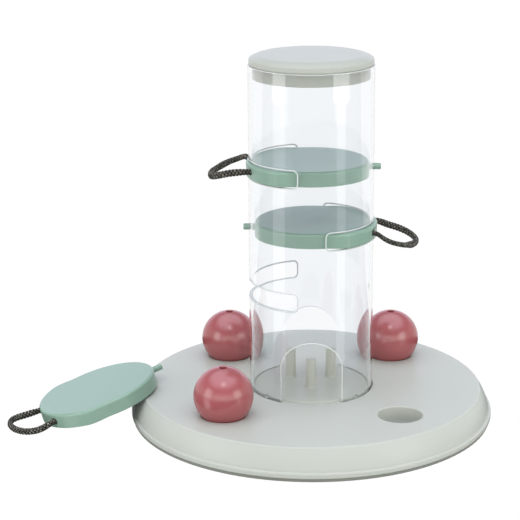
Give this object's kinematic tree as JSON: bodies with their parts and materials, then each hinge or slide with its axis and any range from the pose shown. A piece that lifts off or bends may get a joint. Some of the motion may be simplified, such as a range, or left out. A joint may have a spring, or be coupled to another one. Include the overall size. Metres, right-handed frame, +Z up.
{
  "type": "cat treat tower",
  "caption": "Free-standing treat puzzle for cats: clear slotted tower on a round base, with pull-out drawers on rope loops, a lift-off lid and loose balls on treat wells.",
  "frame": {"origin": "on the floor, on the axis of the tower and of the round base", "axes": "+Z up along the tower's axis; the drawers slide along X; the two arches face -Y (front) and +Y (back)"},
  "size_m": [0.3338, 0.25, 0.252],
  "materials": {
    "base": "pale grey-green moulded plastic, fine satin texture",
    "lid": "pale grey-green moulded plastic, satin",
    "ring": "dark grey soft anti-slip rubber, matt",
    "tube": "clear polished plastic",
    "drawer": "sage green moulded plastic, semi gloss",
    "rope": "black braided cord with light flecks",
    "ball": "dusty pink rubber, satin"
  },
  "bodies": {
    "base": {"base_plate": "base", "anti_slip_ring": "ring"},
    "tower": {"tower_tube": "tube"},
    "lid": {"tower_lid": "lid"},
    "top_drawer": {"drawer_top": "drawer", "rope_loop_top": "rope", "rope_knots_top": "rope"},
    "middle_drawer": {"drawer_middle": "drawer", "rope_loop_middle": "rope", "rope_knots_middle": "rope"},
    "bottom_drawer": {"drawer_bottom": "drawer", "rope_loop_bottom": "rope", "rope_knots_bottom": "rope"},
    "front_left_ball": {"ball_front_left": "ball"},
    "rear_left_ball": {"ball_rear_left": "ball"},
    "rear_right_ball": {"ball_rear_right": "ball"}
  },
  "joints": [
    {"name": "tower_lift", "type": "slide", "parent": "base", "child": "tower", "axis": [0, 0, 1], "range_m": [0, 0.06]},
    {"name": "lid_lift", "type": "slide", "parent": "tower", "child": "lid", "axis": [0, 0, 1], "range_m": [0, 0.03]},
    {"name": "top_drawer_pull", "type": "slide", "parent": "tower", "child": "top_drawer", "axis": [-1, 0, 0], "range_m": [0, 0.09]},
    {"name": "middle_drawer_pull", "type": "slide", "parent": "tower", "child": "middle_drawer", "axis": [1, 0, 0], "range_m": [-0.0008, 0.09]},
    {"name": "bottom_drawer_lift", "type": "slide", "parent": "base", "child": "bottom_drawer", "axis": [0, 0, 1], "range_m": [0, 0.1]},
    {"name": "front_left_ball_lift", "type": "slide", "parent": "base", "child": "front_left_ball", "axis": [0, 0, 1], "range_m": [0, 0.05]},
    {"name": "rear_left_ball_lift", "type": "slide", "parent": "base", "child": "rear_left_ball", "axis": [0, 0, 1], "range_m": [0, 0.05]},
    {"name": "rear_right_ball_lift", "type": "slide", "parent": "base", "child": "rear_right_ball", "axis": [0, 0, 1], "range_m": [0, 0.05]}
  ]
}
